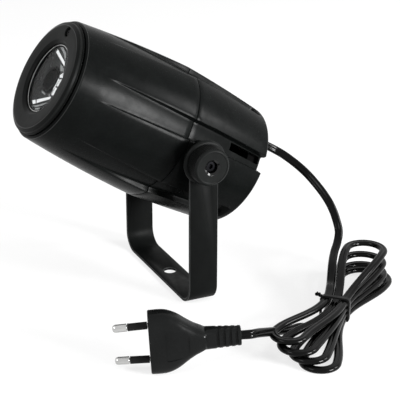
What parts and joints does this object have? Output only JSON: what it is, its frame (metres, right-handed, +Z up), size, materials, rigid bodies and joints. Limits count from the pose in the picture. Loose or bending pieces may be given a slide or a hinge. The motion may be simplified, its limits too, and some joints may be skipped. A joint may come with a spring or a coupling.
{
  "type": "pinspot light",
  "caption": "Small barrel-shaped LED pinspot light that tilts in a U-shaped bracket between clamp knobs, with a round front lens and a mains lead tied in a hank.",
  "frame": {"origin": "the middle of the lamp's footprint at floor height, under the housing, with the bracket's base flat on the floor", "axes": "+Z up, the light shines towards -Y and up, the pivot axis and the bracket's width run along X, and the tied lead lies at +X"},
  "size_m": [0.1956, 0.1947, 0.1518],
  "materials": {
    "housing_plastic": "fine matte moulded plastic",
    "trim_plastic": "fine matte moulded plastic",
    "strap_paint": "black powder coat",
    "dark_screw": "blackened steel",
    "bright_screw": "zinc plated",
    "stud_steel": "turned steel",
    "insert_brass": "machined",
    "washer_rubber": "plain",
    "boot_rubber": "satin moulded",
    "lens_clear": "polished clear",
    "reflector_chrome": "vacuum metallised",
    "tube_plastic": "matte black",
    "emitter_dome": "phosphor yellow",
    "led_board_white": "white solder mask",
    "sink_aluminium": "as cast",
    "driver_green": "green solder mask",
    "transformer_core": "ferrite and tape",
    "capacitor_can": "sleeved",
    "wire_blue": "satin insulation",
    "wire_brown": "satin insulation",
    "cord_black": "satin sheath",
    "tie_black": "satin",
    "plug_black": "satin moulded",
    "pin_nickel": "nickel plated",
    "sleeve_black": "satin"
  },
  "bodies": {
    "bracket": {"bracket": "strap_paint", "cord_hank": "cord_black", "power_cord_lead": "cord_black", "power_cord_tail": "cord_black", "cord_tie": "tie_black", "plug_body": "plug_black", "plug_pin_upper": "pin_nickel", "plug_pin_lower": "pin_nickel", "plug_sleeve_upper": "sleeve_black", "plug_sleeve_lower": "sleeve_black"},
    "head": {"front_shell": "housing_plastic", "rear_shell": "housing_plastic", "rear_plate": "trim_plastic", "rear_screw_1": "bright_screw", "rear_screw_2": "bright_screw", "rear_screw_3": "bright_screw", "cord_boot": "boot_rubber", "front_ring": "trim_plastic", "ring_screw": "dark_screw", "front_lens": "lens_clear", "reflector": "reflector_chrome", "light_tube": "tube_plastic", "led_board": "led_board_white", "led_emitter": "emitter_dome", "heat_sink": "sink_aluminium", "sink_screw_right": "bright_screw", "sink_screw_left": "bright_screw", "driver_board": "driver_green", "driver_transformer": "transformer_core", "driver_capacitor": "capacitor_can", "led_lead": "wire_blue", "mains_wire_live": "wire_brown", "mains_wire_neutral": "wire_blue", "pivot_insert_right": "insert_brass", "pivot_insert_left": "insert_brass", "friction_washer_right": "washer_rubber", "friction_washer_left": "washer_rubber", "pivot_stud_right": "stud_steel", "pivot_stud_left": "stud_steel"},
    "knob_right": {"knob_right": "trim_plastic"},
    "knob_left": {"knob_left": "trim_plastic"}
  },
  "joints": [
    {"name": "head_tilt", "type": "hinge", "parent": "bracket", "child": "head", "pos_m": [0, 0.01559, 0.0829], "axis": [1, 0, 0], "range_deg": [-75, 60], "deforming": ["power_cord_lead"]},
    {"name": "knob_right_turn", "type": "hinge", "parent": "head", "child": "knob_right", "pos_m": [0.05, 0.01559, 0.0829], "axis": [1, 0, 0], "range_deg": [0, 360]},
    {"name": "knob_left_turn", "type": "hinge", "parent": "head", "child": "knob_left", "pos_m": [-0.05, 0.01559, 0.0829], "axis": [-1, 0, 0], "range_deg": [0, 360]}
  ]
}
